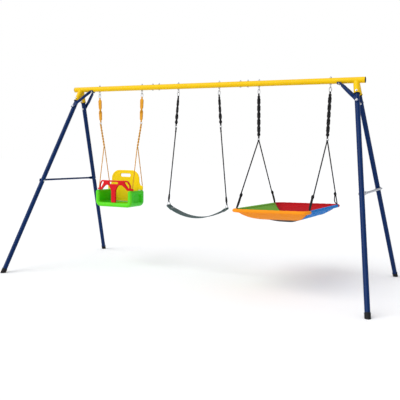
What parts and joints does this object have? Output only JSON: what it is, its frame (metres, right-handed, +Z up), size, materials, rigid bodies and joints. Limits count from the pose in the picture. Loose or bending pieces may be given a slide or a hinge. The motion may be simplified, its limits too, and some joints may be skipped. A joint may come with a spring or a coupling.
{
  "type": "swing set",
  "caption": "Freestanding A-frame swing set with a toddler bucket seat, a belt swing and a four-colour fabric platform swing hung from a yellow beam.",
  "frame": {"origin": "on the floor, under the middle of the beam", "axes": "+X runs along the beam to the right, +Y points to the back, +Z is up"},
  "size_m": [3.4296, 1.6816, 1.8135],
  "materials": {
    "yellow_paint": "gloss",
    "navy_paint": "gloss",
    "plated_steel": "satin",
    "black_plastic": "matte",
    "zinc_steel": "satin",
    "orange_webbing": "matte",
    "orange_rope": "matte",
    "black_webbing": "matte",
    "black_rope": "matte",
    "green_plastic": "gloss",
    "yellow_plastic": "gloss",
    "red_plastic": "gloss",
    "slate_rubber": "satin",
    "rim_steel": "satin",
    "platform_fabric": "matte"
  },
  "bodies": {
    "stand": {"beam_cap_left": "black_plastic", "beam_cap_right": "black_plastic", "beam_left": "yellow_paint", "beam_middle": "yellow_paint", "beam_right": "yellow_paint", "brace_left_back": "navy_paint", "brace_left_front": "navy_paint", "brace_right_back": "navy_paint", "brace_right_front": "navy_paint", "crossbar_left": "navy_paint", "crossbar_right": "plated_steel", "eye_bolt_1": "zinc_steel", "eye_bolt_2": "zinc_steel", "eye_bolt_3": "zinc_steel", "eye_bolt_4": "zinc_steel", "eye_bolt_5": "zinc_steel", "eye_bolt_6": "zinc_steel", "foot_cap_left_back": "black_plastic", "foot_cap_left_front": "black_plastic", "foot_cap_right_back": "black_plastic", "foot_cap_right_front": "black_plastic", "leg_left_back": "navy_paint", "leg_left_front": "navy_paint", "leg_right_back": "navy_paint", "leg_right_front": "navy_paint"},
    "toddler_swing": {"toddler_top_link_left": "zinc_steel", "toddler_top_link_right": "zinc_steel", "toddler_strap_left": "orange_webbing", "toddler_strap_right": "orange_webbing", "toddler_low_link_left": "zinc_steel", "toddler_low_link_right": "zinc_steel"},
    "toddler_seat": {"toddler_twist_left": "orange_rope", "toddler_twist_right": "orange_rope", "toddler_rope_left": "orange_rope", "toddler_rope_right": "orange_rope", "toddler_seat_shell": "green_plastic", "toddler_backrest": "yellow_plastic"},
    "toddler_guard": {"toddler_guard": "red_plastic"},
    "belt_swing": {"belt_top_link_left": "zinc_steel", "belt_top_link_right": "zinc_steel", "belt_strap_left": "black_webbing", "belt_strap_right": "black_webbing", "belt_low_link_left": "zinc_steel", "belt_low_link_right": "zinc_steel", "belt_rope_left": "black_rope", "belt_rope_right": "black_rope"},
    "belt_seat": {"belt_triangle_left": "zinc_steel", "belt_triangle_right": "zinc_steel", "belt_seat": "slate_rubber"},
    "platform_swing": {"platform_top_link_left": "zinc_steel", "platform_top_link_right": "zinc_steel", "platform_strap_left": "black_webbing", "platform_strap_right": "black_webbing", "platform_low_link_left": "zinc_steel", "platform_low_link_right": "zinc_steel"},
    "platform_seat": {"platform_rope_left": "black_rope", "platform_rope_right": "black_rope", "platform_rim": "rim_steel", "platform_mat": "platform_fabric"}
  },
  "joints": [
    {"name": "toddler_swing", "type": "hinge", "parent": "stand", "child": "toddler_swing", "pos_m": [-0.915, 0, 1.7231], "axis": [1, 0, 0], "range_deg": [-45, 45]},
    {"name": "toddler_seat_tilt", "type": "hinge", "parent": "toddler_swing", "child": "toddler_seat", "pos_m": [-0.915, 0, 1.421], "axis": [1, 0, 0], "range_deg": [-20, 20]},
    {"name": "toddler_guard_lift", "type": "slide", "parent": "toddler_seat", "child": "toddler_guard", "axis": [0, 0.1954, 0.9807], "range_m": [0, 0.1]},
    {"name": "belt_swing", "type": "hinge", "parent": "stand", "child": "belt_swing", "pos_m": [-0.062, 0, 1.7231], "axis": [1, 0, 0], "range_deg": [-45, 45]},
    {"name": "belt_seat_tilt", "type": "hinge", "parent": "belt_swing", "child": "belt_seat", "pos_m": [-0.062, 0, 0.69], "axis": [1, 0, 0], "range_deg": [-45, 45]},
    {"name": "platform_swing", "type": "hinge", "parent": "stand", "child": "platform_swing", "pos_m": [0.8525, 0, 1.7231], "axis": [1, 0, 0], "range_deg": [-45, 45]},
    {"name": "platform_tilt", "type": "hinge", "parent": "platform_swing", "child": "platform_seat", "pos_m": [0.8525, 0, 1.269], "axis": [1, 0, 0], "range_deg": [-20, 20]}
  ]
}
